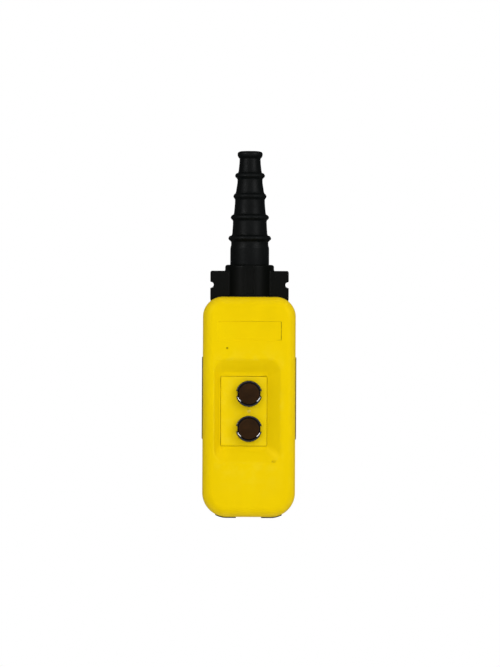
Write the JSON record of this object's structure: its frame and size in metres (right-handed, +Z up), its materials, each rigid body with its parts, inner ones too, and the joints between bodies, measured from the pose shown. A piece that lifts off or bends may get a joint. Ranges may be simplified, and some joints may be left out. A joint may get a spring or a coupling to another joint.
{
  "type": "pendant control station",
  "caption": "Hanging push-button control station: yellow moulded case with a scooped button panel, round black push-buttons, a notched entry block and a stepped rubber cable sleeve.",
  "frame": {"origin": "centre of the cable mouth, at the top of the rubber sleeve, where the station hangs from its cable", "axes": "+Z up along the cable, -Y out of the button side, +X to the right when facing the buttons"},
  "size_m": [0.0816, 0.0706, 0.3159],
  "materials": {
    "yellow_shell": "moulded, fine satin grain",
    "yellow_plate": "moulded, smoother satin",
    "black_rubber": "moulded rubber",
    "sleeve_rubber": "moulded rubber, semi-matt",
    "hard_black": "moulded, semi-matt",
    "bezel_black": "polished",
    "cap_rubber": "smooth, slightly brown black",
    "dark_steel": "blackened",
    "zinc_steel": "zinc plated",
    "spring_steel": "bright drawn wire",
    "brass": "turned",
    "copper": "rolled copper alloy",
    "grey_block": "moulded thermoset",
    "red_plunger": "moulded",
    "natural_plastic": "machined acetal",
    "pale_pin": "moulded"
  },
  "bodies": {
    "station": {"front_shell": "yellow_shell", "rear_shell": "yellow_shell", "case_seal": "black_rubber", "case_screws": "dark_steel", "thread_inserts": "brass", "button_plate": "yellow_plate", "plate_pin": "pale_pin", "bezel_upper": "bezel_black", "bezel_lower": "bezel_black", "bezel_gaskets": "black_rubber", "lock_nuts": "hard_black", "boot_upper": "black_rubber", "boot_lower": "black_rubber", "contact_block_upper": "grey_block", "contact_block_lower": "grey_block", "return_spring_upper": "spring_steel", "return_spring_lower": "spring_steel", "fixed_contacts_upper": "brass", "fixed_contacts_lower": "brass", "terminal_screws": "zinc_steel", "terminal_clamps": "zinc_steel", "mounting_bracket": "zinc_steel", "block_screws": "zinc_steel", "bracket_screws": "zinc_steel", "entry_block": "hard_black", "entry_gasket": "black_rubber", "cable_sleeve": "sleeve_rubber", "sleeve_ring": "hard_black", "clamp_bar_front": "hard_black", "clamp_bar_rear": "hard_black", "clamp_screws": "zinc_steel", "clamp_nuts": "zinc_steel"},
    "upper_button": {"cap_upper": "cap_rubber", "stem_upper": "natural_plastic", "clip_upper": "spring_steel", "plunger_upper": "red_plunger"},
    "lower_button": {"cap_lower": "cap_rubber", "stem_lower": "natural_plastic", "clip_lower": "spring_steel", "plunger_lower": "red_plunger"},
    "upper_contact": {"bridge_upper": "copper", "contact_spring_upper": "spring_steel"},
    "lower_contact": {"bridge_lower": "copper", "contact_spring_lower": "spring_steel"}
  },
  "joints": [
    {"name": "upper_press", "type": "slide", "parent": "station", "child": "upper_button", "axis": [0, 1, 0], "range_m": [0, 0.0032], "stiffness_N_per_m": 1200, "springref_m": -0.003, "deforming": ["return_spring_upper", "boot_upper"]},
    {"name": "lower_press", "type": "slide", "parent": "station", "child": "lower_button", "axis": [0, 1, 0], "range_m": [0, 0.0032], "stiffness_N_per_m": 1200, "springref_m": -0.003, "deforming": ["return_spring_lower", "boot_lower"]},
    {"name": "upper_contact_travel", "type": "slide", "parent": "station", "child": "upper_contact", "axis": [0, 1, 0], "range_m": [0, 0.0018], "deforming": ["contact_spring_upper"]},
    {"name": "lower_contact_travel", "type": "slide", "parent": "station", "child": "lower_contact", "axis": [0, 1, 0], "range_m": [0, 0.0018], "deforming": ["contact_spring_lower"]}
  ],
  "couplings": [
    {"joint": "upper_contact_travel", "follows": "upper_press", "ratio": 0.5625},
    {"joint": "lower_contact_travel", "follows": "lower_press", "ratio": 0.5625}
  ]
}
